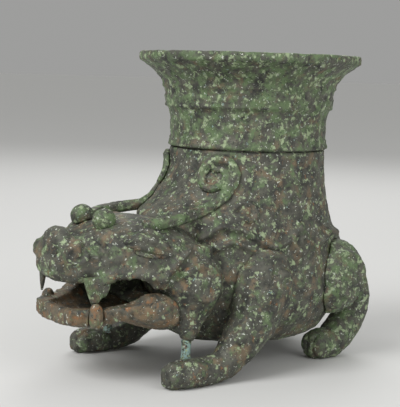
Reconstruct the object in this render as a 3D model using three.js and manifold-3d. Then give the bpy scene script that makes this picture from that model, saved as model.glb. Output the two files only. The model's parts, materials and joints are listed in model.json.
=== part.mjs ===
// A cast bronze vessel in the shape of a crouching toad-like beast that carries a trumpet-mouthed neck.
// The body, neck, head, jaw, legs, horns, ears, eyes and fangs are separate castings, joined by tenons and locks.
// Millimetres, +Z up. The beast faces -Y, its left side is +X, and it stands on its four soles at z = 0.

import * as THREE from 'three';
import { LoftGeometry } from 'three/addons/geometries/LoftGeometry.js';
import { mergeVertices } from 'three/addons/utils/BufferGeometryUtils.js';
import Module from 'manifold-3d';

const wasm = await Module();
wasm.setup();

// Clearance between two castings, and the walls
const SEAM = 0.3;
const BODY_WALL = 4;
const NECK_WALL = 4;
const HEAD_WALL = 5;

// Neck
const RIM_HEIGHT = 200;
const RIM_RADIUS = 72.5;
const LIP_HEIGHT = 6.5;
const LIP_THICKNESS = 5;
const NECK_RADIUS = 51;
const NECK_FOOT = 139;
const BAND_RELIEF = 1.2;
const LOWER_BAND_HEIGHT = 5;
const UPPER_BAND_BOTTOM = 165;
const UPPER_BAND_HEIGHT = 6.5;

// Body, as rings from the floor of the belly to the foot of the neck
const BELLY_FLOOR = 16;
const BELLY_HALF_WIDTH = 58;
const BELLY_REAR = 70;
const CHEST_REACH = 72;
const NAPE_REACH = 80;
const FLOOR_HALF_WIDTH = 36;
const FLOOR_HALF_LENGTH = 46;
const FLOOR_PLATE_THICKNESS = 3.5;
const FLOOR_RIM = 9;
const CHAPLET_SIZE = 6;
const CHAPLET_SPREAD_X = 13;
const CHAPLET_SPREAD_Y = 18;

// Head, measured forward from the axis of the neck
const NOSE_REACH = 149;
const NOSE_RADIUS = 15;
const FANG_REACH = 131;
const MOUTH_CORNER_REACH = 103;
const JAW_REACH = 144;
const LOWER_LIP = 46;
const UPPER_LIP = 60;
const CHIN = 33.5;
const CHEEK_RADIUS = 22;
const CHEEK_SPREAD = 36;
const CHEEK_REACH = 70;
const CHEEK_HEIGHT = 57;
const EYE_RADIUS = 7.5;
const EYE_SPREAD = 13;
const EYE_REACH = 117;
const EYE_HEIGHT = 97;
const FANG_SPREAD = 27;
const FANG_THICKNESS = 4.5;
const LOWER_FANG_RADIUS = 4.5;
const BROKEN_FANG_RADIUS = 1.8;
const BROKEN_FANG_SETBACK = 9;

// Horns, as rolled ridges that end in a scroll on the neck
const HORN_RADIUS = 4;
const HORN_TIP_RADIUS = 2;
const SCROLL_RADIUS = 12;
const SCROLL_HEIGHT = NECK_FOOT - SCROLL_RADIUS - HORN_RADIUS - 0.5;
const SCROLL_AZIMUTH = THREE.MathUtils.degToRad(33);

// Legs
const FRONT_FOOT_SPREAD = 54;
const FRONT_FOOT_LENGTH = 42;
const FRONT_FOOT_REACH = 99;
const FRONT_FOOT_RADIUS = 9.5;
const SHOULDER_RADIUS = 24;
const SOLE_CUT = 2;
const HIND_FOOT_SPREAD = 34;
const HIND_FOOT_RADIUS = 11;
const HEEL_REAR = 80;
const HAUNCH_RADIUS = 26;
const STRUT_RADIUS = 3;
const TENON_RADIUS = 5;
const TENON_STAND_IN = 3;
const LOCK_RADIUS = 9;

const SIDES = { left: 1, right: -1 };

// Colours of the patina
const MATERIALS = {
  dark_bronze: { color: 0x55584e, roughness: 0.62, metalness: 0.35 },
  green_bronze: { color: 0x5f6e50, roughness: 0.7, metalness: 0.25 },
  brown_bronze: { color: 0x736451, roughness: 0.75, metalness: 0.2 },
  pale_bronze: { color: 0x8fa39b, roughness: 0.6, metalness: 0.25 },
};

// Solids

function solid(geometry) {
  const bare = geometry.index ? geometry.toNonIndexed() : geometry.clone();
  bare.deleteAttribute('normal');
  bare.deleteAttribute('uv');
  const merged = mergeVertices(bare, 1e-4);
  return new wasm.Manifold(new wasm.Mesh({
    numProp: 3,
    vertProperties: merged.attributes.position.array,
    triVerts: new Uint32Array(merged.index.array),
  }));
}

function geometryOf(shape) {
  const { vertProperties, triVerts, numProp } = shape.getMesh();
  const count = vertProperties.length / numProp;
  const positions = new Float32Array(count * 3);
  for (let i = 0; i < count; i++) positions.set(vertProperties.subarray(i * numProp, i * numProp + 3), i * 3);
  const geometry = new THREE.BufferGeometry();
  geometry.setAttribute('position', new THREE.BufferAttribute(positions, 3));
  geometry.setIndex(new THREE.BufferAttribute(triVerts, 1));
  geometry.computeVertexNormals();
  return geometry;
}

const join = (first, ...others) => others.reduce((sum, other) => sum.add(other), first);
const cut = (first, ...others) => others.reduce((rest, other) => rest.subtract(other), first);

function ball(at, radii, turn = new THREE.Euler(), columns = 14, rows = 8) {
  const geometry = new THREE.SphereGeometry(1, columns, rows);
  geometry.scale(...radii);
  geometry.applyQuaternion(new THREE.Quaternion().setFromEuler(turn));
  geometry.translate(...at);
  return solid(geometry);
}

function block(low, high) {
  const size = high.map((value, i) => value - low[i]);
  const geometry = new THREE.BoxGeometry(...size);
  geometry.translate(...low.map((value, i) => value + size[i] / 2));
  return solid(geometry);
}

function rod(from, to, radius, sides = 16) {
  const along = new THREE.Vector3().subVectors(to, from);
  const geometry = new THREE.CylinderGeometry(radius, radius, along.length(), sides);
  geometry.applyQuaternion(new THREE.Quaternion().setFromUnitVectors(new THREE.Vector3(0, 1, 0), along.normalize()));
  geometry.translate(...new THREE.Vector3().addVectors(from, to).multiplyScalar(0.5));
  return solid(geometry);
}

function lathe(profile, segments = 32) {
  const geometry = new THREE.LatheGeometry(profile.map(([r, z]) => new THREE.Vector2(r, z)), segments);
  geometry.rotateX(Math.PI / 2);
  return solid(geometry);
}

// A loft through rings of points that run anticlockwise about the way ahead.
function loft(sections) {
  return solid(new LoftGeometry(sections, { capStart: true, capEnd: true }));
}

// A limb: round sections of changing size along a smooth path. Each station is [x, y, z, radius].
function limb(stations, grow = 0, { sides = 14, steps = 10, flatten = 1 } = {}) {
  const path = new THREE.CatmullRomCurve3(stations.map(([x, y, z]) => new THREE.Vector3(x, y, z)), false, 'centripetal');
  const radiusAt = tableReader(stations.map(([, , , radius], i) => [i / (stations.length - 1), radius]));
  const sections = [];
  const across = new THREE.Vector3(1, 0, 0);
  for (let i = 0; i <= steps; i++) {
    const t = i / steps;
    const centre = path.getPoint(t);
    const tangent = path.getTangent(t);
    const side = across.clone().addScaledVector(tangent, -across.dot(tangent)).normalize();
    const up = new THREE.Vector3().crossVectors(tangent, side);
    const [radius] = radiusAt(t);
    const ring = [];
    for (let k = 0; k < sides; k++) {
      const angle = (k / sides) * 2 * Math.PI;
      ring.push(centre.clone()
        .addScaledVector(side, (radius * flatten + grow) * Math.cos(angle))
        .addScaledVector(up, (radius + grow) * Math.sin(angle)));
    }
    sections.push(ring);
  }
  return loft(sections);
}

// Reads a table of rows [position, ...values], with a smooth curve through the values.
function tableReader(rows) {
  const positions = rows.map(([position]) => position);
  const values = rows.flatMap(([, ...rest]) => rest);
  const size = rows[0].length - 1;
  const smooth = new THREE.CubicInterpolant(positions, values, size, new Float64Array(size));
  return (position) => Array.from(smooth.evaluate(THREE.MathUtils.clamp(position, positions[0], positions.at(-1))));
}

// Body

// Height, half width, reach to the front and reach to the rear
const BODY_RINGS = [
  [BELLY_FLOOR, FLOOR_HALF_WIDTH, FLOOR_HALF_LENGTH, FLOOR_HALF_LENGTH],
  [BELLY_FLOOR + 5, FLOOR_HALF_WIDTH + 9, CHEST_REACH - 15, BELLY_REAR - 14],
  [35, BELLY_HALF_WIDTH - 4, CHEST_REACH - 5, BELLY_REAR - 5],
  [52, BELLY_HALF_WIDTH, CHEST_REACH, BELLY_REAR],
  [70, BELLY_HALF_WIDTH - 1, CHEST_REACH + 3, BELLY_REAR - 1],
  [84, BELLY_HALF_WIDTH - 4, NAPE_REACH - 1, BELLY_REAR - 6],
  [97, NECK_RADIUS + 1.5, NAPE_REACH - 1, NECK_RADIUS + 7],
  [107, NECK_RADIUS + 0.8, NECK_RADIUS + 14, NECK_RADIUS + 3.5],
  [117, NECK_RADIUS + 0.4, NECK_RADIUS + 6, NECK_RADIUS + 1.5],
  [127, NECK_RADIUS, NECK_RADIUS + 2, NECK_RADIUS + 0.5],
  [NECK_FOOT, NECK_RADIUS, NECK_RADIUS, NECK_RADIUS],
];
const readBody = tableReader(BODY_RINGS);

// A point on the body's skin. Azimuth 0 is the front, and a quarter turn is the left side.
function bodyPoint(height, azimuth, grow = 0) {
  const [halfWidth, front, rear] = readBody(height);
  const reach = Math.cos(azimuth) > 0 ? front : rear;
  return new THREE.Vector3((halfWidth + grow) * Math.sin(azimuth), -(reach + grow) * Math.cos(azimuth), height);
}

function bodyForm(grow = 0, { points = 28, above = 0, below = 0 } = {}) {
  const heights = BODY_RINGS.map(([height]) => height);
  const ring = (height, lift) => Array.from({ length: points }, (_, i) => {
    const point = bodyPoint(height, (i / points) * 2 * Math.PI, grow);
    point.z += lift;
    return point;
  });
  const sections = heights.map((height) => ring(height, 0));
  sections[0] = ring(heights[0], -below);
  sections[sections.length - 1] = ring(heights.at(-1), above);
  return loft(sections);
}

function floorOpening(grow, bottom, top) {
  const shape = new THREE.Shape();
  shape.absellipse(0, 0, FLOOR_HALF_WIDTH - FLOOR_RIM + grow, FLOOR_HALF_LENGTH - FLOOR_RIM + grow, 0, 2 * Math.PI);
  const geometry = new THREE.ExtrudeGeometry(shape, { depth: top - bottom, bevelEnabled: false, curveSegments: 10 });
  geometry.translate(0, 0, bottom);
  return solid(geometry);
}

function bodyShell(tenonHoles) {
  const outside = bodyForm();
  const inside = cut(bodyForm(-BODY_WALL, { above: 1 }), block([-200, -200, -10], [200, 200, BELLY_FLOOR + BODY_WALL]));
  const opening = floorOpening(0, BELLY_FLOOR - 1, BELLY_FLOOR + BODY_WALL + 1);
  return cut(outside, inside, opening, ...tenonHoles);
}

const chapletPlaces = [[1, 1], [1, -1], [-1, 1], [-1, -1]].map(([x, y]) => [x * CHAPLET_SPREAD_X, y * CHAPLET_SPREAD_Y]);

function chaplet([x, y], grow = 0, rise = 0) {
  const half = CHAPLET_SIZE / 2 + grow;
  const top = BELLY_FLOOR + FLOOR_PLATE_THICKNESS + rise;
  return block([x - half, y - half, BELLY_FLOOR - rise], [x + half, y + half, top]);
}

function basePlate() {
  const plate = floorOpening(-SEAM, BELLY_FLOOR, BELLY_FLOOR + FLOOR_PLATE_THICKNESS);
  return cut(plate, ...chapletPlaces.map((place) => chaplet(place, SEAM, 1)));
}

// Neck

function neckCollar() {
  const foot = NECK_FOOT + SEAM;
  const lowerBandTop = NECK_FOOT + LOWER_BAND_HEIGHT;
  const upperBandTop = UPPER_BAND_BOTTOM + UPPER_BAND_HEIGHT;
  const lipBottom = RIM_HEIGHT - LIP_HEIGHT;
  const bandRadius = NECK_RADIUS + BAND_RELIEF;
  const flare = RIM_RADIUS - NECK_RADIUS;
  const throat = NECK_RADIUS - NECK_WALL;
  const outside = [
    [bandRadius, foot],
    [bandRadius, lowerBandTop - 1],
    [NECK_RADIUS, lowerBandTop],
    [NECK_RADIUS + 0.02 * flare, UPPER_BAND_BOTTOM - 8],
    [NECK_RADIUS + 0.08 * flare, UPPER_BAND_BOTTOM - 1],
    [bandRadius + 0.1 * flare, UPPER_BAND_BOTTOM],
    [bandRadius + 0.15 * flare, upperBandTop - 1],
    [NECK_RADIUS + 0.17 * flare, upperBandTop],
    [NECK_RADIUS + 0.3 * flare, lipBottom - 12],
    [NECK_RADIUS + 0.56 * flare, lipBottom - 5.5],
    [RIM_RADIUS - 2, lipBottom],
    [RIM_RADIUS, lipBottom + 1],
    [RIM_RADIUS, RIM_HEIGHT],
  ];
  const inside = [
    [RIM_RADIUS - LIP_THICKNESS, RIM_HEIGHT],
    [RIM_RADIUS - LIP_THICKNESS - 2, RIM_HEIGHT - 3],
    [throat + 0.5 * flare, lipBottom - 1],
    [throat + 0.25 * flare, lipBottom - 9],
    [throat + 0.1 * flare, upperBandTop],
    [throat, UPPER_BAND_BOTTOM - 8],
    [throat, foot],
  ];
  return lathe([...outside, ...inside, outside[0]]);
}

// Head

// Reach, half width, lowest and highest point of the skull
const SKULL_SECTIONS = [
  [58, 34, 42, 92],
  [72, 45, 44, 96],
  [86, 49, 47, 98],
  [97, 46, 51, 98],
  [108, 39.5, 57, 97],
  [119, 33, UPPER_LIP - 2, 94.5],
  [129, 28.5, UPPER_LIP - 2, 88],
  [137, 25, UPPER_LIP - 2, 86],
  [144, 21, UPPER_LIP - 1, 84],
  [NOSE_REACH, 13, UPPER_LIP + 4, 79],
];

// Reach, half width, lowest and highest point of the lower jaw
const JAW_SECTIONS = [
  [84, 49, 29, 58],
  [94, 49, 31, 58],
  [104, 46, 34.5, 58],
  [114, 40.5, 37, 54],
  [124, 34, CHIN + 0.5, 52],
  [133, 30, CHIN, 51],
  [139, 27.5, CHIN, 50],
  [JAW_REACH, 22, CHIN + 2, 48],
];

// Reach, half width, lowest and highest point of the hollow mouth
const MOUTH_SECTIONS = [
  [66, 26, 48, 74],
  [76, 32, 43, 84],
  [88, 38, LOWER_LIP - 6, 98 - HEAD_WALL - 4],
  [100, 39, LOWER_LIP - 6.5, 98 - HEAD_WALL - 4],
  [110, 34, LOWER_LIP - 6.5, 86],
  [121, 27, LOWER_LIP - 7, 84],
  [131, 22, LOWER_LIP - 7, 78],
  [139, 16, LOWER_LIP - 6, 70],
];

function boxySection(reach, halfWidth, low, high, grow, power, points) {
  const middle = (low + high) / 2;
  const halfHeight = (high - low) / 2 + grow;
  return Array.from({ length: points }, (_, i) => {
    const angle = (i / points) * 2 * Math.PI;
    const round = (value) => Math.sign(value) * Math.abs(value) ** (2 / power);
    return new THREE.Vector3((halfWidth + grow) * round(Math.cos(angle)), -reach, middle + halfHeight * round(Math.sin(angle)));
  });
}

function headForm(table, grow = 0, { power = 2.6, points = 20, steps = 9 } = {}) {
  const read = tableReader(table);
  const [start, end] = [table[0][0], table.at(-1)[0]];
  return loft(Array.from({ length: steps + 1 }, (_, i) => {
    const reach = start + ((end - start) * i) / steps;
    const push = i === 0 ? -grow : i === steps ? grow : 0;
    return boxySection(reach + push, ...read(reach), grow, power, points);
  }));
}

const skullForm = (grow = 0) => headForm(SKULL_SECTIONS, grow);
const jawForm = (grow = 0) => headForm(JAW_SECTIONS, grow, { power: 3.2, steps: 6 });
const mouthForm = () => headForm(MOUTH_SECTIONS, 0, { power: 3, points: 16, steps: 6 });

function noseForm(grow = 0) {
  const centre = NOSE_REACH - 8;
  const bulb = ball([0, -centre, 79], [17 + grow, 8 + grow, NOSE_RADIUS + grow]);
  const wings = Object.values(SIDES).map((side) =>
    ball([side * 14, -(centre - 2), 76], [9 + grow, 8.5 + grow, 11 + grow]));
  return join(bulb, ...wings);
}

function cheekForm(side, grow = 0) {
  const x = side * CHEEK_SPREAD;
  const beard = side * (FRONT_FOOT_SPREAD - 9);
  return limb([
    [x, -(CHEEK_REACH - 2), CHEEK_HEIGHT + 26, CHEEK_RADIUS - 14],
    [x, -(CHEEK_REACH - 1), CHEEK_HEIGHT + 15, CHEEK_RADIUS - 3.5],
    [x, -CHEEK_REACH, CHEEK_HEIGHT, CHEEK_RADIUS],
    [x + side * 2, -(CHEEK_REACH + 3), CHEEK_HEIGHT - 16, CHEEK_RADIUS - 7],
    [beard, -(CHEEK_REACH + 6), CHEEK_HEIGHT - 27, 6.5],
    [beard, -(CHEEK_REACH + 7), CHEEK_HEIGHT - 31, 4],
  ], grow, { steps: 7, sides: 12 });
}

// The gap between the lips, seen from the side and cut right across the head
function lipGap() {
  const corner = MOUTH_CORNER_REACH;
  const shape = new THREE.Shape();
  shape.moveTo(NOSE_REACH + 15, LOWER_LIP);
  shape.lineTo(FANG_REACH, LOWER_LIP);
  shape.bezierCurveTo(corner + 14, LOWER_LIP + 1, corner + 4, LOWER_LIP + 3, corner, LOWER_LIP + 10);
  shape.bezierCurveTo(corner + 1, UPPER_LIP + 6, corner + 8, UPPER_LIP + 7, corner + 16, UPPER_LIP + 5);
  shape.quadraticCurveTo(FANG_REACH - 6, UPPER_LIP + 1, FANG_REACH, UPPER_LIP + 1);
  shape.quadraticCurveTo(FANG_REACH + 9, UPPER_LIP, NOSE_REACH + 15, UPPER_LIP - 1);
  const half = 70;
  const geometry = new THREE.ExtrudeGeometry(shape, { depth: 2 * half, bevelEnabled: false, curveSegments: 8 });
  geometry.translate(0, 0, -half);
  // The shape's x becomes the reach towards -Y, its y the height, and its depth runs along X.
  geometry.applyMatrix4(new THREE.Matrix4().makeBasis(
    new THREE.Vector3(0, -1, 0), new THREE.Vector3(0, 0, 1), new THREE.Vector3(-1, 0, 0)));
  return solid(geometry);
}

function headOutside(grow = 0) {
  return join(skullForm(grow), noseForm(grow), cheekForm(SIDES.left, grow), cheekForm(SIDES.right, grow));
}

function nostrils() {
  return Object.values(SIDES).map((side) =>
    ball([side * 8.5, -(NOSE_REACH - 0.5), 79], [2, 4.5, 6.5], new THREE.Euler(0, side * 0.25, 0), 10, 6));
}

function head() {
  return cut(headOutside(), mouthForm(), lipGap(), bodyForm(SEAM), ...nostrils());
}

function lowerJaw() {
  const fangSockets = Object.values(SIDES).map((side) => lowerFang(side, SEAM));
  return cut(jawForm(), mouthForm(), lipGap(), headOutside(SEAM), bodyForm(SEAM), ...fangSockets);
}

// A lower fang stands at each front corner of the jaw, half let into it.
function lowerFang(side, grow = 0) {
  const x = side * (FANG_SPREAD + 2);
  return limb([
    [x, -FANG_REACH, CHIN + 2 - grow, LOWER_FANG_RADIUS - 1.5],
    [x, -FANG_REACH, CHIN + 6, LOWER_FANG_RADIUS],
    [x, -FANG_REACH, LOWER_LIP + 0.5, LOWER_FANG_RADIUS],
    [x - side, -FANG_REACH, LOWER_LIP + 4 + grow, LOWER_FANG_RADIUS - 2.5],
  ], grow, { sides: 8, steps: 4 });
}

// The whole upper fang: a broad blade with a second lobe behind its tip
function upperFang(side) {
  const root = UPPER_LIP + 6;
  const shape = new THREE.Shape();
  shape.moveTo(FANG_REACH + 8, root);
  shape.quadraticCurveTo(FANG_REACH + 4, UPPER_LIP - 6, FANG_REACH + 1, LOWER_LIP + 2);
  shape.lineTo(FANG_REACH - 1, LOWER_LIP + 2);
  shape.quadraticCurveTo(FANG_REACH - 3, UPPER_LIP - 8, FANG_REACH - 5, UPPER_LIP - 7);
  shape.quadraticCurveTo(FANG_REACH - 10, UPPER_LIP - 7, FANG_REACH - 11, root);
  const bevel = 1;
  const geometry = new THREE.ExtrudeGeometry(shape, {
    depth: FANG_THICKNESS - 2 * bevel, bevelEnabled: true, bevelThickness: bevel, bevelSize: bevel, bevelOffset: -bevel,
    bevelSegments: 1, curveSegments: 5,
  });
  geometry.translate(0, 0, -FANG_THICKNESS / 2 + bevel);
  geometry.applyMatrix4(new THREE.Matrix4().makeBasis(
    new THREE.Vector3(0, -1, 0), new THREE.Vector3(0, 0, 1), new THREE.Vector3(-1, 0, 0)));
  geometry.translate(side * FANG_SPREAD, 0, 0);
  return solid(geometry);
}

// The other upper fang has corroded to a thin stump just behind the nose.
function brokenFang(side) {
  const x = side * (FANG_SPREAD - 7);
  const y = -(NOSE_REACH - BROKEN_FANG_SETBACK);
  return limb([
    [x, y, UPPER_LIP + 5, BROKEN_FANG_RADIUS + 0.8],
    [x, y, UPPER_LIP - 3, BROKEN_FANG_RADIUS],
    [x + side, y, UPPER_LIP - 9, BROKEN_FANG_RADIUS - 0.8],
  ], 0, { sides: 8, steps: 5 });
}

function eye(side) {
  return ball([side * EYE_SPREAD, -EYE_REACH, EYE_HEIGHT], [EYE_RADIUS, EYE_RADIUS, EYE_RADIUS], new THREE.Euler(), 12, 8);
}

// A leaf-shaped ear laid back along the side of the head
function ear(side) {
  return limb([
    [side * 29, -116, 83, 2.5],
    [side * 33, -110, 85, 7.5],
    [side * 39, -101, 83, 8.5],
    [side * 44, -90, 79, 6],
    [side * 47.5, -79, 74, 1.5],
  ], 0, { sides: 8, steps: 6, flatten: 0.75 });
}

// Horns

// The horn runs from behind the ear over the nape and winds one and a half turns inwards on the neck.
function hornPath(side) {
  const points = [
    new THREE.Vector3(side * 31, -101, 95),
    new THREE.Vector3(side * 37, -84, 97.5),
  ];
  for (const [height, azimuth] of [[101, 36], [110, 43]]) {
    points.push(bodyPoint(height, side * THREE.MathUtils.degToRad(azimuth)));
  }
  const turns = 1.35;
  const count = 16;
  for (let i = 0; i <= count; i++) {
    const t = i / count;
    const radius = SCROLL_RADIUS * (1 - 0.68 * t);
    const angle = t * turns * 2 * Math.PI;
    const azimuth = side * (SCROLL_AZIMUTH + (radius / NECK_RADIUS) * Math.cos(angle));
    points.push(bodyPoint(SCROLL_HEIGHT + radius * Math.sin(angle), azimuth));
  }
  return points;
}

function horn(side) {
  const points = hornPath(side);
  const path = new THREE.CatmullRomCurve3(points, false, 'centripetal');
  const steps = 32;
  const sides = 6;
  const sections = [];
  for (let i = 0; i <= steps; i++) {
    const t = i / steps;
    const centre = path.getPoint(t);
    const tangent = path.getTangent(t);
    const out = new THREE.Vector3(centre.x, centre.y, 0).normalize();
    const across = new THREE.Vector3().crossVectors(tangent, out).normalize();
    const up = new THREE.Vector3().crossVectors(tangent, across);
    const radius = THREE.MathUtils.lerp(HORN_RADIUS, HORN_TIP_RADIUS, THREE.MathUtils.smoothstep(t, 0.3, 1));
    sections.push(Array.from({ length: sides }, (_, k) => {
      const angle = ((k + 0.5) / sides) * 2 * Math.PI;
      return centre.clone().addScaledVector(across, radius * Math.cos(angle)).addScaledVector(up, radius * Math.sin(angle));
    }));
  }
  return loft(sections);
}

// Legs

function frontLegStations(side) {
  const x = side * FRONT_FOOT_SPREAD;
  const toe = FRONT_FOOT_REACH - FRONT_FOOT_RADIUS + 2;
  const heel = FRONT_FOOT_REACH - FRONT_FOOT_LENGTH;
  const r = FRONT_FOOT_RADIUS;
  return [
    [side * (BELLY_HALF_WIDTH - 16), -18, 74, SHOULDER_RADIUS - 8],
    [side * (BELLY_HALF_WIDTH - 11), -22, 58, SHOULDER_RADIUS - 2],
    [x - side * 3, -30, 38, SHOULDER_RADIUS - 7],
    [x, -44, 21, r + 3],
    [x, -heel, r, r],
    [x, -(heel + toe) / 2, r - SOLE_CUT, r],
    [x, -toe, r - SOLE_CUT, r],
    [x, -(toe + r - 2), r - SOLE_CUT, r - 4],
  ];
}

function hindLegStations(side) {
  const x = side * HIND_FOOT_SPREAD;
  const r = HIND_FOOT_RADIUS;
  const rear = HEEL_REAR - r;
  return [
    [x + side * 2, rear - 4, 58, r - 4],
    [x + side * 2, rear, 46, r - 1.5],
    [x + side * 1, rear - 1, 32, r],
    [x, rear - 10, 18, r + 1],
    [x, rear - 22, r - SOLE_CUT, r],
    [x, rear - 34, r - SOLE_CUT, r],
    [x, rear - 40, r - SOLE_CUT, r - 5],
  ];
}

const legStations = {
  front: frontLegStations,
  hind: hindLegStations,
};

// A tenon runs from inside the leg through the belly's wall, square to it.
function tenonEnds(end, side) {
  const [height, azimuth, depth] = end === 'front' ? [52, 68, 16] : [52, 146, 14];
  const turn = side * THREE.MathUtils.degToRad(azimuth);
  return [bodyPoint(height, turn, depth), bodyPoint(height, turn, -BODY_WALL - TENON_STAND_IN)];
}

function tenon(end, side, grow = 0) {
  const [from, to] = tenonEnds(end, side);
  return rod(from, to, TENON_RADIUS + grow);
}

function legForm(end, side, grow = 0) {
  const form = limb(legStations[end](side), grow, { sides: 12, steps: 9 });
  if (end === 'front') return form;
  const haunch = ball([side * (HIND_FOOT_SPREAD + 6), BELLY_REAR - 29, 56],
    [20 + grow, HAUNCH_RADIUS + grow, HAUNCH_RADIUS + grow], new THREE.Euler(), 16, 9);
  return join(form, haunch);
}

function leg(end, side) {
  const belowGround = block([-150, -250, -50], [150, 150, 0]);
  const outer = cut(legForm(end, side), bodyForm(SEAM), belowGround, headOutside(SEAM));
  return join(outer, tenon(end, side));
}

// A bead cast round the tenon inside the belly
function lock(end, side) {
  const [, inner] = tenonEnds(end, side);
  const bead = ball(inner.toArray(), [LOCK_RADIUS, LOCK_RADIUS, LOCK_RADIUS], new THREE.Euler(), 10, 6);
  return cut(bead.intersect(bodyForm(-BODY_WALL - SEAM)), tenon(end, side, SEAM));
}

// A thin strut carries the tip of the cheek on the foot below it.
function strut(side) {
  const x = side * (FRONT_FOOT_SPREAD - 9);
  const y = -(CHEEK_REACH + 7);
  const form = limb([
    [x, y, CHEEK_HEIGHT - 27, STRUT_RADIUS + 1],
    [x, y, CHEEK_HEIGHT - 35, STRUT_RADIUS],
    [x, y, FRONT_FOOT_RADIUS + 4, STRUT_RADIUS + 0.5],
  ], 0, { sides: 10, steps: 5 });
  return cut(form, cheekForm(side, SEAM), legForm('front', side, SEAM));
}

// Assembly

function largest(shape) {
  return shape.decompose().sort((a, b) => b.volume() - a.volume())[0];
}

function assemble() {
  const group = new THREE.Group();
  const add = (name, shape, material) => {
    const mesh = new THREE.Mesh(geometryOf(largest(shape)), new THREE.MeshStandardMaterial(MATERIALS[material]));
    mesh.name = name;
    group.add(mesh);
  };
  const each = (run) => Object.entries(SIDES).forEach(([word, side]) => run(word, side));

  const tenonHoles = [];
  each((word, side) => tenonHoles.push(tenon('front', side, SEAM), tenon('hind', side, SEAM)));

  add('body_shell', bodyShell(tenonHoles), 'dark_bronze');
  add('neck_collar', neckCollar(), 'green_bronze');
  add('base_plate', basePlate(), 'dark_bronze');
  chapletPlaces.forEach((place, i) => add(`base_chaplet_${i + 1}`, chaplet(place), 'brown_bronze'));

  const skin = join(headOutside(SEAM), bodyForm(SEAM));
  add('head', head(), 'dark_bronze');
  add('lower_jaw', lowerJaw(), 'brown_bronze');
  each((word, side) => {
    add(`${word}_eye`, cut(eye(side), skin), 'green_bronze');
    add(`${word}_ear`, cut(ear(side), skin), 'dark_bronze');
    add(`${word}_horn`, cut(horn(side), skin, ear(side)), 'green_bronze');
    add(`${word}_lower_fang`, lowerFang(side), 'brown_bronze');
    add(`${word}_cheek_strut`, strut(side), 'pale_bronze');
    for (const end of ['front', 'hind']) {
      add(`${word}_${end}_leg`, leg(end, side), end === 'front' ? 'dark_bronze' : 'green_bronze');
      add(`${word}_${end}_lock`, lock(end, side), 'brown_bronze');
    }
  });
  add('left_upper_fang', cut(upperFang(SIDES.left), headOutside(SEAM), lowerFang(SIDES.left, SEAM)), 'green_bronze');
  add('right_upper_fang', cut(brokenFang(SIDES.right), headOutside(SEAM)), 'brown_bronze');

  // The origin moves to the middle of the footprint, on the ground.
  const middle = new THREE.Box3().setFromObject(group).getCenter(new THREE.Vector3());
  group.position.y = -middle.y;
  return group;
}

export default assemble();
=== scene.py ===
import json
import math

import bmesh
import bpy
import numpy as np
from mathutils import Matrix, Vector

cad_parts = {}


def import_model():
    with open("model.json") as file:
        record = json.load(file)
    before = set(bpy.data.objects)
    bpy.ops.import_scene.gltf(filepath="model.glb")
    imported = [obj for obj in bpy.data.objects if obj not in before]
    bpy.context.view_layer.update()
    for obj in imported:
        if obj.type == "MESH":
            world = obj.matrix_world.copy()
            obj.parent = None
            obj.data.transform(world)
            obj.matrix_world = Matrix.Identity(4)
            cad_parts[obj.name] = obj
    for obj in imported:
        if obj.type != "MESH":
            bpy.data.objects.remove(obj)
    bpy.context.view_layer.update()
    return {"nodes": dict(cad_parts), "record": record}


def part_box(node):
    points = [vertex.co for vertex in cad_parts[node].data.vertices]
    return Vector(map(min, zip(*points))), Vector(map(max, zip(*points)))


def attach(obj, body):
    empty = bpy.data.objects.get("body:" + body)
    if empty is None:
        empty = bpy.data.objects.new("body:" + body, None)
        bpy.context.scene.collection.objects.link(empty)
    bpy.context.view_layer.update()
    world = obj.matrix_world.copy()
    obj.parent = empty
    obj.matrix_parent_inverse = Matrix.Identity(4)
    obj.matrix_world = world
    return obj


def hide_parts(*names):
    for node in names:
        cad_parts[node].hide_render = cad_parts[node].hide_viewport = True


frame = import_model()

# Sizes are in millimetres from the axis of the neck, and MM turns them into metres.
MM = 0.001
BODY = "root"

# The neck's axis, from the box of the collar
collar_low, collar_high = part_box("neck_collar")
NECK_Y = (collar_low[1] + collar_high[1]) / 2
RIM_HEIGHT = collar_high[2] / MM

# Meshing of the cast skins
VOXEL = 1.2 * MM
FINE_VOXEL = 0.7 * MM
SMOOTHING_STEPS = 3
FINE_SMOOTHING_STEPS = 2
SMOOTHING = 0.5
CRUST_SIZE = 7 * MM
CRUST_HEIGHT = 1.3 * MM
GRAIN_SIZE = 2.2 * MM
GRAIN_HEIGHT = 0.8 * MM
# The height of the texture that moves nothing, and the share of the crust that small pieces get
CRUST_MIDDLE = 0.55
FINE_CRUST_SHARE = 0.4

# Camera, as the photograph was taken
CAMERA_AZIMUTH = math.radians(54)
CAMERA_DISTANCE = 792 * MM
CAMERA_HEIGHT = 185 * MM
CAMERA_LEFT = 30 * MM
CAMERA_PITCH = math.radians(6.1)
CAMERA_ROLL = math.radians(1.7)
FOCAL_PIXELS = 1200
IMAGE_HEIGHT = 407
SENSOR = 36

HIDDEN = ("base_plate", "base_chaplet", "front_lock", "hind_lock")
FINE = ("eye", "ear", "horn", "fang", "strut")


# Relief: ridges and grooves are chains of points (reach, height) seen from the side.

def spiral(centre, radius, turns, start=0.0, direction=1, count=26):
    chain = []
    for i in range(count):
        t = i / (count - 1)
        angle = start + direction * turns * 2 * math.pi * t
        size = radius * (1 - 0.85 * t)
        chain.append((centre[0] + size * math.cos(angle), centre[1] + size * math.sin(angle)))
    return chain


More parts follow.
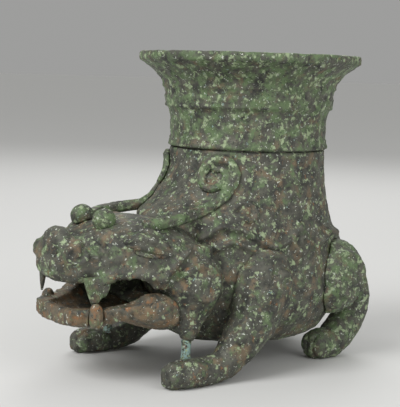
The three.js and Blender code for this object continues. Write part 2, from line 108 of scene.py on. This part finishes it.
SHOULDER_RIDGES = [
    [(60, 86), (50, 93), (38, 91), (28, 84), (18, 80), (8, 83), (-2, 92)],
    [(52, 80), (44, 84), (34, 80), (26, 74)],
    spiral((-4, 82), 9, 1.3, start=1.6, direction=-1),
    spiral((34, 101), 7, 1.2, start=0.4),
]
HAUNCH_RIDGES = [
    spiral((-42, 56), 17, 1.25, start=1.2),
    [(-20, 80), (-34, 86), (-50, 84), (-62, 74)],
]
FORELEG_RIDGES = [
    spiral((21, 62), 13, 1.2, start=2.0, direction=-1),
    [(40, 52), (42, 38), (50, 26)],
]
BROW_RIDGES = [
    [(138, 84), (130, 92), (122, 93), (112, 96), (100, 93), (88, 96)],
    [(128, 64), (118, 68), (108, 68), (98, 66), (92, 60)],
]
CHEEK_RIDGES = [
    spiral((72, 60), 13, 1.3, start=0.6),
    [(97, 60), (88, 74), (76, 82), (62, 80)],
]
NOSTRIL_RIDGES = [spiral((141, 79), 7, 1.2, start=2.6)]
LIP_LOBE = [[(129, 61), (120, 65), (110, 64), (103, 62)]]
WRINKLE_GROOVES = [
    [(136, 88), (133, 80), (131, 74)],
    [(132, 90), (129, 82), (127, 76)],
    [(128, 91), (125, 84), (123, 78)],
]
BEARD_REACH = range(112, 144, 5)
BEARD_GROOVES = [[(reach, 36), (reach + 1, 44)] for reach in BEARD_REACH]
EYE_SLITS = [[(115, 84), (109, 87), (100, 85), (92, 80)], [(113, 81), (104, 80), (94, 77)]]
JAW_RIDGES = [[(142, 45), (126, 46), (110, 50), (98, 54)]]

# Each piece's relief: chains, half width and height. A groove has a height below zero.
HEAD_RELIEF = [
    (BROW_RIDGES + CHEEK_RIDGES, 2.2, 3.0),
    (NOSTRIL_RIDGES, 1.5, 2.0),
    (LIP_LOBE, 3.2, 2.6),
    (WRINKLE_GROOVES, 1.1, -2.2),
]
BODY_RELIEF = [
    (SHOULDER_RIDGES, 2.2, 3.2),
    (HAUNCH_RIDGES[1:], 2.2, 3.0),
]
JAW_RELIEF = [
    (JAW_RIDGES, 1.6, 1.2),
    (BEARD_GROOVES, 1.1, -1.6),
]
SIDE_RELIEF = {
    "head": HEAD_RELIEF,
    "body_shell": BODY_RELIEF,
    "lower_jaw": JAW_RELIEF,
    "ear": [(EYE_SLITS, 1.0, -1.6)],
    "front_leg": [(FORELEG_RIDGES, 2.0, 2.6)],
    "hind_leg": [(HAUNCH_RIDGES, 2.2, 2.8)],
}

# Feet: distance of the middle toe from the midline, and where the gaps between the toes start
FRONT_TOES = (54, 80)
HIND_TOES = (34, -50)
TOE_GAPS = (-5, 0, 5)
TOE_GAP_WIDTH = 0.9
TOE_GAP_DEPTH = 1.6
TOE_TOP = 18


def chain_distance(flat, chain):
    """How far each (reach, height) point lies from a chain."""
    best = np.full(len(flat), np.inf)
    for start, end in zip(chain, chain[1:]):
        a = np.array(start)
        along = np.array(end) - a
        t = np.clip(((flat - a) @ along) / (along @ along), 0, 1)
        best = np.minimum(best, np.linalg.norm(flat - a - t[:, None] * along, axis=1))
    return best


def from_side(place, normal, chains, width, height):
    """Millimetres to push each point outwards, on surfaces that face sideways."""
    flat = place[:, 1:]
    facing = np.clip(np.abs(normal[:, 0]) * 2.5 - 0.2, 0, 1) * (np.sign(normal[:, 0]) == np.sign(place[:, 0]))
    push = np.zeros(len(place))
    for chain in chains:
        push = np.maximum(push, np.exp(-(chain_distance(flat, chain) / width) ** 2))
    return height * push * facing


# The neck's ornament: the place of each raised line, and each zigzag's middle, half height and count
NECK_LINES = (140.2, 144.6, 165.6, 171.4, 178)
NECK_LINE_WIDTH = 0.8
NECK_LINE_HEIGHT = 0.7
ZIGZAGS = ((155, 5.0, 30), (184, 3.5, 36))
ZIGZAG_WIDTH = 0.9
ZIGZAG_DEPTH = 0.55
BARE_LIP = 8


def neck_relief(place, normal):
    turn = np.arctan2(place[:, 0], place[:, 1])
    outward = (normal[:, 0] * place[:, 0] + normal[:, 1] * place[:, 1]) > 0
    push = np.zeros(len(place))
    for line in NECK_LINES:
        push += NECK_LINE_HEIGHT * np.exp(-((place[:, 2] - line) / NECK_LINE_WIDTH) ** 2)
    for middle, size, count in ZIGZAGS:
        wave = np.abs(((turn / (2 * math.pi) * count) % 1) - 0.5) * 4 - 1
        push -= ZIGZAG_DEPTH * np.exp(-((place[:, 2] - middle - size * wave) / ZIGZAG_WIDTH) ** 2)
    below_lip = np.clip((RIM_HEIGHT - BARE_LIP - place[:, 2]) / 3, 0, 1)
    return push * outward * below_lip


def toe_relief(place, middle, first):
    across = np.abs(place[:, 0]) - middle
    ahead = np.clip((place[:, 1] - first) / 6, 0, 1)
    low = np.clip((TOE_TOP - place[:, 2]) / 4, 0, 1)
    push = np.zeros(len(place))
    for gap in TOE_GAPS:
        push -= TOE_GAP_DEPTH * np.exp(-((across - gap) / TOE_GAP_WIDTH) ** 2)
    return push * ahead * low


def relief(node, place, normal):
    push = np.zeros(len(place))
    for word, rows in SIDE_RELIEF.items():
        if word in node:
            for chains, width, height in rows:
                push += from_side(place, normal, chains, width, height)
    if node == "neck_collar":
        push += neck_relief(place, normal)
    if "front_leg" in node:
        push += toe_relief(place, *FRONT_TOES)
    if "hind_leg" in node:
        push += toe_relief(place, *HIND_TOES)
    return push


# Cast skins

def clouds(name, size, depth):
    texture = bpy.data.textures.new(name, "CLOUDS")
    texture.noise_scale = size
    texture.noise_depth = depth
    return texture


crust_texture = clouds("crust", CRUST_SIZE, 3)
grain_texture = clouds("grain", GRAIN_SIZE, 2)


def apply_modifiers(piece):
    graph = bpy.context.evaluated_depsgraph_get()
    baked = bpy.data.meshes.new_from_object(piece.evaluated_get(graph))
    piece.modifiers.clear()
    piece.data = baked


def weld(mesh):
    build = bmesh.new()
    build.from_mesh(mesh)
    bmesh.ops.remove_doubles(build, verts=build.verts, dist=1e-6)
    build.to_mesh(mesh)
    build.free()


def push_out(piece, node):
    mesh = piece.data
    count = len(mesh.vertices)
    place = np.empty(count * 3)
    normal = np.empty(count * 3)
    mesh.vertices.foreach_get("co", place)
    mesh.vertices.foreach_get("normal", normal)
    place = place.reshape(-1, 3)
    normal = normal.reshape(-1, 3)
    side_on = np.column_stack([place[:, 0], NECK_Y - place[:, 1], place[:, 2]]) / MM
    facing = normal * (1, -1, 1)
    place += normal * (relief(node, side_on, facing) * MM)[:, None]
    mesh.vertices.foreach_set("co", place.ravel())
    mesh.update()


def keep_inside_box(piece, node):
    """The finish stays within what the solid measures, so that no size changes."""
    low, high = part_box(node)
    mesh = piece.data
    place = np.empty(len(mesh.vertices) * 3)
    mesh.vertices.foreach_get("co", place)
    place = np.clip(place.reshape(-1, 3), np.array(low), np.array(high))
    mesh.vertices.foreach_set("co", place.ravel())
    mesh.update()


def cast_skin(node):
    piece = bpy.data.objects.new(node + "_skin", frame["nodes"][node].data.copy())
    bpy.context.scene.collection.objects.link(piece)
    weld(piece.data)
    fine = any(word in node for word in FINE)
    remesh = piece.modifiers.new("remesh", "REMESH")
    remesh.mode = "VOXEL"
    remesh.voxel_size = FINE_VOXEL if fine else VOXEL
    smooth = piece.modifiers.new("smooth", "SMOOTH")
    smooth.factor = SMOOTHING
    smooth.iterations = FINE_SMOOTHING_STEPS if fine else SMOOTHING_STEPS
    apply_modifiers(piece)
    push_out(piece, node)
    for texture, height in ((crust_texture, CRUST_HEIGHT), (grain_texture, GRAIN_HEIGHT)):
        layer = piece.modifiers.new(texture.name, "DISPLACE")
        layer.texture = texture
        layer.texture_coords = "LOCAL"
        layer.mid_level = CRUST_MIDDLE
        layer.strength = height * (FINE_CRUST_SHARE if fine else 1)
    apply_modifiers(piece)
    keep_inside_box(piece, node)
    for polygon in piece.data.polygons:
        polygon.use_smooth = True
    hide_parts(node)
    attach(piece, BODY)
    return piece


# Patina

def linear(*colour):
    """A colour written as red, green and blue from 0 to 255, as the shaders take it.

    No part of it is near black, so the short straight stretch of the curve is left out.
    """
    return tuple(((part / 255 + 0.055) / 1.055) ** 2.4 for part in colour) + (1.0,)


METAL = linear(92, 92, 82)
BLACK = linear(52, 53, 49)
MALACHITE = linear(98, 118, 82)
PALE_GREEN = linear(150, 166, 130)
TURQUOISE = linear(140, 168, 162)
EARTH = linear(124, 106, 82)
RUST = linear(138, 100, 66)
WHITE = linear(196, 202, 190)

ROUGHNESS_RANGE = (0.42, 0.85)
METALLIC = 0.15
REFRACTION = 1.5
BUMP_HEIGHT = 0.6 * MM

# Where each layer begins in its noise: smaller numbers cover more of the surface.
SPREAD = {
    "dark_bronze": {"malachite": 0.53, "pale": 0.57, "earth": 0.52, "rust": 0.62, "turquoise": 0.66},
    "green_bronze": {"malachite": 0.44, "pale": 0.55, "earth": 0.54, "rust": 0.65, "turquoise": 0.66},
    "brown_bronze": {"malachite": 0.58, "pale": 0.60, "earth": 0.42, "rust": 0.54, "turquoise": 0.68},
    "pale_bronze": {"malachite": 0.56, "pale": 0.50, "earth": 0.56, "rust": 0.66, "turquoise": 0.46},
}
METAL_START = 0.36
PIT_START = 0.58
SPECK_START = 0.64


class Patina:
    """A material whose layers of corrosion are laid over each other by noise in the object's own space."""

    def __init__(self, name):
        self.material = bpy.data.materials.new(name)
        self.material.use_nodes = True
        self.nodes = self.material.node_tree.nodes
        self.links = self.material.node_tree.links
        self.shader = self.nodes["Principled BSDF"]
        self.coordinates = self.nodes.new("ShaderNodeTexCoord").outputs["Object"]
        self.colour = None

    def noise(self, size, detail=6.0, shift=0.0):
        """Noise of that size in millimetres. shift keeps one layer's pattern apart from another's."""
        moved = self.nodes.new("ShaderNodeMapping")
        moved.inputs["Location"].default_value = (shift, shift * 0.7, shift * 1.3)
        self.links.new(self.coordinates, moved.inputs["Vector"])
        texture = self.nodes.new("ShaderNodeTexNoise")
        texture.inputs["Scale"].default_value = 1 / (size * MM)
        texture.inputs["Detail"].default_value = detail
        texture.inputs["Roughness"].default_value = 0.62
        self.links.new(moved.outputs["Vector"], texture.inputs["Vector"])
        return texture.outputs["Fac"]

    def threshold(self, value, edge, softness):
        """0 below the edge, rising to 1 over the softness."""
        ramp = self.nodes.new("ShaderNodeMapRange")
        ramp.inputs["From Min"].default_value = edge
        ramp.inputs["From Max"].default_value = edge + softness
        self.links.new(value, ramp.inputs["Value"])
        return ramp.outputs["Result"]

    def layer(self, colour, factor):
        mix = self.nodes.new("ShaderNodeMix")
        mix.data_type = "RGBA"
        mix.inputs[7].default_value = colour
        if self.colour is None:
            mix.inputs[6].default_value = BLACK
        else:
            self.links.new(self.colour, mix.inputs[6])
        self.links.new(factor, mix.inputs[0])
        self.colour = mix.outputs[2]


def patina(slot):
    spread = SPREAD[slot]
    made = Patina(slot + "_patina")
    made.layer(METAL, made.threshold(made.noise(9), METAL_START, 0.24))
    made.layer(EARTH, made.threshold(made.noise(9, 9.0, shift=3.1), spread["earth"], 0.18))
    made.layer(MALACHITE, made.threshold(made.noise(7, 9.0, shift=7.7), spread["malachite"], 0.16))
    made.layer(RUST, made.threshold(made.noise(5, 9.0, shift=5.3), spread["rust"], 0.12))
    made.layer(PALE_GREEN, made.threshold(made.noise(4, 9.0, shift=9.2), spread["pale"], 0.07))
    made.layer(TURQUOISE, made.threshold(made.noise(2.6, shift=1.9), spread["turquoise"], 0.05))
    made.layer(BLACK, made.threshold(made.noise(1.8, shift=4.4), PIT_START, 0.08))
    made.layer(WHITE, made.threshold(made.noise(1.8, 3.0, shift=8.8), SPECK_START, 0.04))
    made.links.new(made.colour, made.shader.inputs["Base Color"])
    rough = made.nodes.new("ShaderNodeMapRange")
    rough.inputs["To Min"].default_value = ROUGHNESS_RANGE[0]
    rough.inputs["To Max"].default_value = ROUGHNESS_RANGE[1]
    made.links.new(made.noise(9, shift=2.2), rough.inputs["Value"])
    made.links.new(rough.outputs["Result"], made.shader.inputs["Roughness"])
    made.shader.inputs["Metallic"].default_value = METALLIC
    made.shader.inputs["IOR"].default_value = REFRACTION
    bump = made.nodes.new("ShaderNodeBump")
    bump.inputs["Strength"].default_value = 1.0
    bump.inputs["Distance"].default_value = BUMP_HEIGHT
    made.links.new(made.noise(2.0, 8.0, shift=6.1), bump.inputs["Height"])
    made.links.new(bump.outputs["Normal"], made.shader.inputs["Normal"])
    return made.material


# The object

patinas = {slot: patina(slot) for slot in SPREAD}
slots = {row["node"]: row["material_slot"] for row in frame["record"]["subparts"]}
for node, solid in frame["nodes"].items():
    finish = patinas[slots[node]]
    if any(word in node for word in HIDDEN):
        solid.data.materials.clear()
        solid.data.materials.append(finish)
        continue
    skin = cast_skin(node)
    skin.data.materials.clear()
    skin.data.materials.append(finish)


# Floor, light and camera

FLOOR_COLOUR = (0.62, 0.62, 0.61, 1)
FLOOR_ROUGHNESS = 0.9
FLOOR_HALF = 60
BACKDROP_COLOUR = (0.34, 0.34, 0.335, 1)
WORLD_STRENGTH = 0.9

# The point that the lamps face, and each lamp's place, size and power
LAMP_TARGET = (0, 0, 0.1)
LAMPS = {
    "key": ((0.25, -1.3, 1.3), 0.9, 22),
    "fill": ((1.4, 0.2, 0.7), 1.2, 7),
    "back": ((-1.0, 0.9, 1.2), 0.9, 8),
}


def floor():
    half = FLOOR_HALF
    back = Vector((-math.sin(CAMERA_AZIMUTH), math.cos(CAMERA_AZIMUTH), 0))
    mesh = bpy.data.meshes.new("floor")
    corners = [(-half, -half, 0), (half, -half, 0), (half, half, 0), (-half, half, 0)]
    mesh.from_pydata([Vector(corner) + back for corner in corners], [], [(0, 1, 2, 3)])
    plane = bpy.data.objects.new("floor", mesh)
    bpy.context.scene.collection.objects.link(plane)
    material = bpy.data.materials.new("floor")
    material.use_nodes = True
    shader = material.node_tree.nodes["Principled BSDF"]
    shader.inputs["Base Color"].default_value = FLOOR_COLOUR
    shader.inputs["Roughness"].default_value = FLOOR_ROUGHNESS
    mesh.materials.append(material)


def lamp(name, place, size, power):
    data = bpy.data.lights.new(name, "AREA")
    data.size = size
    data.energy = power
    light = bpy.data.objects.new(name, data)
    light.location = place
    ahead = Vector(LAMP_TARGET) - Vector(place)
    light.rotation_euler = ahead.to_track_quat("-Z", "Y").to_euler()
    bpy.context.scene.collection.objects.link(light)


def world():
    """Lights the object evenly, and shows the backdrop's colour to the camera, gloss and glass."""
    made = bpy.data.worlds.new("studio")
    made.use_nodes = True
    nodes = made.node_tree.nodes
    links = made.node_tree.links
    light = nodes["Background"]
    light.inputs["Color"].default_value = FLOOR_COLOUR
    light.inputs["Strength"].default_value = WORLD_STRENGTH
    shown = nodes.new("ShaderNodeBackground")
    shown.inputs["Color"].default_value = BACKDROP_COLOUR
    path = nodes.new("ShaderNodeLightPath")
    seen = path.outputs["Is Camera Ray"]
    for ray in ("Is Glossy Ray", "Is Transmission Ray"):
        either = nodes.new("ShaderNodeMath")
        either.operation = "MAXIMUM"
        links.new(seen, either.inputs[0])
        links.new(path.outputs[ray], either.inputs[1])
        seen = either.outputs[0]
    mix = nodes.new("ShaderNodeMixShader")
    links.new(seen, mix.inputs[0])
    links.new(light.outputs[0], mix.inputs[1])
    links.new(shown.outputs[0], mix.inputs[2])
    links.new(mix.outputs[0], nodes["World Output"].inputs["Surface"])
    bpy.context.scene.world = made


def camera():
    back = Vector((math.sin(CAMERA_AZIMUTH), -math.cos(CAMERA_AZIMUTH), 0))
    right = Vector((math.cos(CAMERA_AZIMUTH), math.sin(CAMERA_AZIMUTH), 0))
    place = Vector((0, NECK_Y, CAMERA_HEIGHT)) + back * CAMERA_DISTANCE - right * CAMERA_LEFT
    ahead = -back * math.cos(CAMERA_PITCH) - Vector((0, 0, math.sin(CAMERA_PITCH)))
    up = right.cross(ahead)
    turn = Matrix((right, up, -ahead)).transposed() @ Matrix.Rotation(CAMERA_ROLL, 3, "Z")
    data = bpy.data.cameras.new("camera")
    data.sensor_fit = "VERTICAL"
    data.sensor_height = SENSOR
    data.lens = FOCAL_PIXELS / IMAGE_HEIGHT * SENSOR
    made = bpy.data.objects.new("camera", data)
    made.matrix_world = Matrix.Translation(place) @ turn.to_4x4()
    bpy.context.scene.collection.objects.link(made)
    bpy.context.scene.camera = made


floor()
world()
for name, (place, size, power) in LAMPS.items():
    lamp(name, place, size, power)
camera()
bpy.context.scene.view_settings.view_transform = "Standard"
